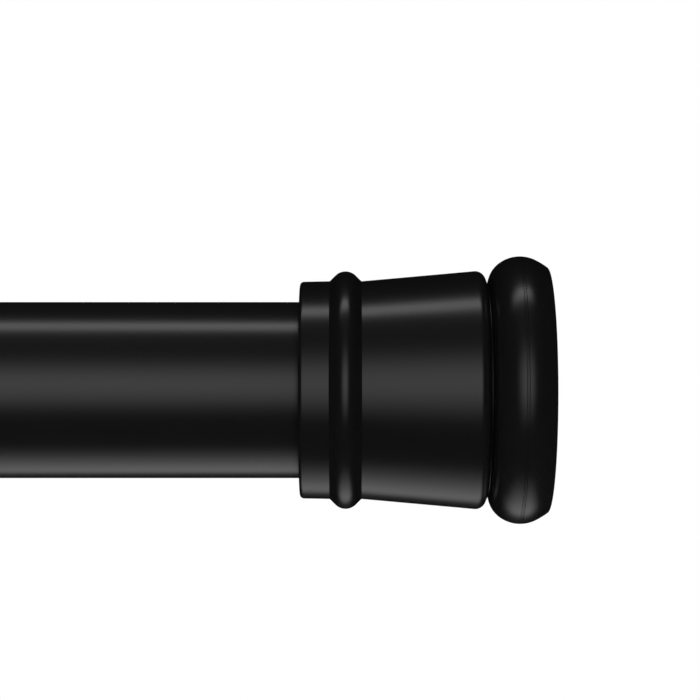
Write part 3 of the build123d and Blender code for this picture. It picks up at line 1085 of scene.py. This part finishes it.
class FrameFinishes:
    """The CAD nodes that stay as they are and get their finishes here, by part of their names."""

    NODES: dict[str, Finish] = {
        "end_plug": NATURAL_NYLON,
        "head_washer": ZINC_PLATE,
        "thrust_washer": NATURAL_NYLON,
        "spindle_lock_nut": ZINC_PLATE,
        "collet_washer": ZINC_PLATE,
        "lock_collet": NATURAL_NYLON,
        "drag_ring": NITRILE,
        "wedge_cone": BLACK_ACETAL,
        "wedge_pin": ZINC_PLATE,
        "spring_seat": ZINC_PLATE,
        "drive_plug": BLACK_ACETAL,
        "drive_nut": ZINC_PLATE,
        "stop_collar": ZINC_PLATE,
    }

    def apply(self, nodes: dict[str, Piece]) -> None:
        """Gives every shown node the finish that its name calls for.

        Args:
            nodes: The frame's nodes by name.
        """
        for name, node in nodes.items():
            if node.hide_render:
                continue
            finish = next(finish for part, finish in self.NODES.items() if part in name)
            if not node.data.materials:
                node.data.materials.append(finish.material())
            for slot in node.material_slots:
                slot.material = finish.material()
            log.info("%s: %s", name, finish.name)


# Studio

@dataclass(frozen=True)
class Spread:
    """Angles in degrees between which a soft light rises from dark to full and falls again.

    A peak over 1 draws the light together round its full part.
    """

    dark_before: float
    full_from: float
    full_to: float
    dark_after: float
    peak: float = 1.0

    def middle(self) -> float:
        """The angle halfway between the two dark ends."""
        return (self.dark_before + self.dark_after) / 2

    def reach(self, distance: float) -> float:
        """Size of a flat light that fills the spread at a distance."""
        return 2 * distance * math.tan(math.radians(self.dark_after - self.dark_before) / 2)

    def share(self, angle: float) -> float:
        """Where an angle falls on the flat light, from 0 at its start to 1 at its end."""
        half = math.radians(self.dark_after - self.dark_before) / 2
        return 0.5 + math.tan(math.radians(angle - self.middle())) / math.tan(half) / 2


@dataclass(frozen=True)
class SoftLight:
    """A flat light with soft edges, seen from the shown end of the rod.

    Its spread upwards runs from 0 on the camera's side over 90 above the rod to 180 behind it, and
    its spread along the rod from the far end's side, below 0, to the wall's side. In Blender's
    area lights a square metre of radiance 1 takes 4 W.
    """

    name: str
    radiance: float
    upwards: Spread
    along: Spread
    skips: tuple[str, ...] = ()
    distance: float = 3.0
    aim_x: float = -0.03
    watts_per_area: float = 4.0

    def shade(self, tree: Tree) -> None:
        """Fades the light towards its edges.

        Args:
            tree: The light's node tree.
        """
        tree.nodes.clear()
        place = add_node(tree, "ShaderNodeNewGeometry").outputs["Parametric"]
        sides = add_node(tree, "ShaderNodeSeparateXYZ", links={0: place}).outputs
        shares = []
        for side, spread in (("X", self.along), ("Y", self.upwards)):
            ramps = [add_node(tree, "ShaderNodeMapRange", {"interpolation_type": "SMOOTHSTEP"}, {
                "From Min": dark, "From Max": spread.share(full)},
                {"Value": sides[side]}).outputs["Result"]
                for dark, full in ((0.0, spread.full_from), (1.0, spread.full_to))]
            both = add_node(tree, "ShaderNodeMath", {"operation": "MULTIPLY"},
                            links=dict(enumerate(ramps)))
            shares.append(add_node(tree, "ShaderNodeMath", {"operation": "POWER"},
                                   {1: spread.peak}, {0: both.outputs["Value"]}).outputs["Value"])
        strength = add_node(tree, "ShaderNodeMath", {"operation": "MULTIPLY"},
                            links=dict(enumerate(shares)))
        glow = add_node(tree, "ShaderNodeEmission", links={"Strength": strength.outputs["Value"]})
        add_node(tree, "ShaderNodeOutputLight", links={"Surface": glow.outputs["Emission"]})

    def flag_off(self, lamp: Piece) -> None:
        """Keeps the light off the pieces that it skips, as a black card does in a studio."""
        flagged = bpy.data.collections.new(self.name + "_flags")
        for name in self.skips:
            flagged.objects.link(bpy.data.objects[name])
        for entry in flagged.collection_objects:
            entry.light_linking.link_state = "EXCLUDE"
        lamp.light_linking.receiver_collection = flagged

    def place(self) -> None:
        """Adds the light, turned to the rod's shown end."""
        up = math.radians(self.upwards.middle())
        x = self.aim_x + math.tan(math.radians(self.along.middle())) * self.distance
        bpy.ops.object.light_add(type="AREA", location=(
            x, -math.cos(up) * self.distance, math.sin(up) * self.distance))
        lamp = bpy.context.object
        lamp.name = self.name
        lamp.rotation_euler = (math.pi / 2 - up, 0, 0)
        lamp.data.shape = "RECTANGLE"
        lamp.data.size = self.along.reach(self.distance)
        lamp.data.size_y = self.upwards.reach(self.distance)
        area = lamp.data.size * lamp.data.size_y
        lamp.data.energy = self.watts_per_area * area * self.radiance
        lamp.data.use_nodes = True
        self.shade(lamp.data.node_tree)
        lamp.visible_camera = False
        if self.skips:
            self.flag_off(lamp)


# Where the banks of light stand, upwards round the rod and along it
OVERHEAD = Spread(82.0, 89.0, 94.0, 101.0)
UPPER_FRONT = Spread(30.0, 48.0, 68.0, 88.0)
FRONT = Spread(-41.0, 7.0, 9.0, 56.0, 2.2)
REAR = Spread(118.0, 128.0, 140.0, 156.0)
LOW_REAR = Spread(-142.0, -126.0, -119.0, -74.0)
FAR_SIDE = Spread(-80.0, -68.0, -46.0, -34.0)
WALL_SIDE = Spread(30.0, 42.0, 60.0, 72.0)
# The banks at the far and wall sides carry the highlights along the rod when it is seen from a
# slant. The shown end's pieces don't get them, because their lights are matched on their own.
SHOWN_END = ("fixed_end_cover_fine", "fixed_foot_bumper_fine", "fixed_foot_core_fine")


@dataclass(frozen=True)
class Studio:
    """Camera, floor, surroundings and lights."""

    camera_at: Triple = (-0.02852, -0.3283, 0.00578)
    lens_mm: float = 116.9
    sensor_mm: float = 36.0
    clip_start: float = 0.01
    ambient: float = 0.004
    lights: tuple[SoftLight, ...] = (
        SoftLight("overhead_bank", 2.15, OVERHEAD, Spread(-38.0, -8.0, 5.0, 23.0)),
        SoftLight("upper_fill", 0.045, UPPER_FRONT, Spread(-32.0, -14.0, 8.0, 27.0)),
        SoftLight("front_bank", 1.02, FRONT, Spread(-37.0, -4.0, 6.0, 28.0)),
        SoftLight("low_rear_bank", 0.84, LOW_REAR, Spread(-34.0, -6.0, 9.0, 28.0)),
        SoftLight("rear_far_bank", 2.6, REAR, FAR_SIDE, SHOWN_END),
        SoftLight("rear_wall_bank", 2.6, REAR, WALL_SIDE, SHOWN_END),
        SoftLight("overhead_far_bank", 2.15, OVERHEAD, FAR_SIDE, SHOWN_END),
        SoftLight("front_far_bank", 1.02, FRONT, FAR_SIDE, SHOWN_END),
    )

    def floor(self) -> None:
        """Lays the floor well below the rod, where the photograph's view doesn't reach it."""
        bpy.ops.mesh.primitive_plane_add(size=1, location=FLOOR_MIDDLE)
        floor = bpy.context.object
        floor.name = "floor"
        floor.scale = (*FLOOR_SIZE, 1)
        bpy.ops.object.transform_apply(location=True, rotation=True, scale=True)
        floor.data.materials.append(GLOWING_FLOOR_PAPER.material())
        floor.visible_glossy = False
        floor.visible_shadow = False

    def surroundings(self) -> None:
        """White to the camera, as the photograph's background, and dim to everything else."""
        world = bpy.data.worlds.new("white_surround")
        bpy.context.scene.world = world
        world.use_nodes = True
        tree = world.node_tree
        tree.nodes.clear()
        rays = add_node(tree, "ShaderNodeLightPath")
        dim, white = (add_node(tree, "ShaderNodeBackground", values={
            "Color": srgb("#FFFFFF"), "Strength": strength}).outputs["Background"]
            for strength in (self.ambient, 1.0))
        mix = add_node(tree, "ShaderNodeMixShader", links={
            0: rays.outputs["Is Camera Ray"], 1: dim, 2: white})
        add_node(tree, "ShaderNodeOutputWorld", links={"Surface": mix.outputs["Shader"]})

    def camera(self) -> None:
        """Sets up the camera as fitted to the photograph's outline: level, close to the foot."""
        bpy.ops.object.camera_add(location=self.camera_at, rotation=(math.pi / 2, 0, 0))
        camera = bpy.context.object
        camera.data.lens = self.lens_mm
        camera.data.sensor_width = self.sensor_mm
        camera.data.clip_start = self.clip_start
        bpy.context.scene.camera = camera

    def build(self) -> None:
        """Makes the studio, shown without a film curve so that white stays white."""
        bpy.context.scene.view_settings.view_transform = "Standard"
        self.floor()
        self.surroundings()
        self.camera()
        for light in self.lights:
            light.place()


def main() -> None:
    """Builds the pieces from the outside in, then the finishes and the studio."""
    coat = ("black_powder_coat", POWDER_COAT)
    Tube(Setting("fixed_tube", *coat, "outer_tube"),
         start=12.659, end=1073.08, outer_r=12.7, bore_r=12.1).build()
    Tube(Setting("turning_tube", *coat, "inner_tube"),
         start=144.16, end=1104.64, outer_r=11.1, bore_r=10.5).build()
    for end in End:
        EndCover(end).build()
        FootBumper(end).build()
    FootCore(End.FIXED).build()
    FootCore(End.SWIVEL, bolt_r=3.06).build()
    MouthBushing().build()
    Spindle().build()
    FootScrew(End.FIXED, head_back=4.7, thread_start=6.2).build()
    FootScrew(End.SWIVEL, head_back=4.4, thread_start=16.459).build()
    LockSpring().build()
    FrameFinishes().apply(frame["nodes"])
    Studio().build()


if __name__ == "__main__":
    logging.basicConfig(level=logging.INFO, format="%(message)s")
    main()
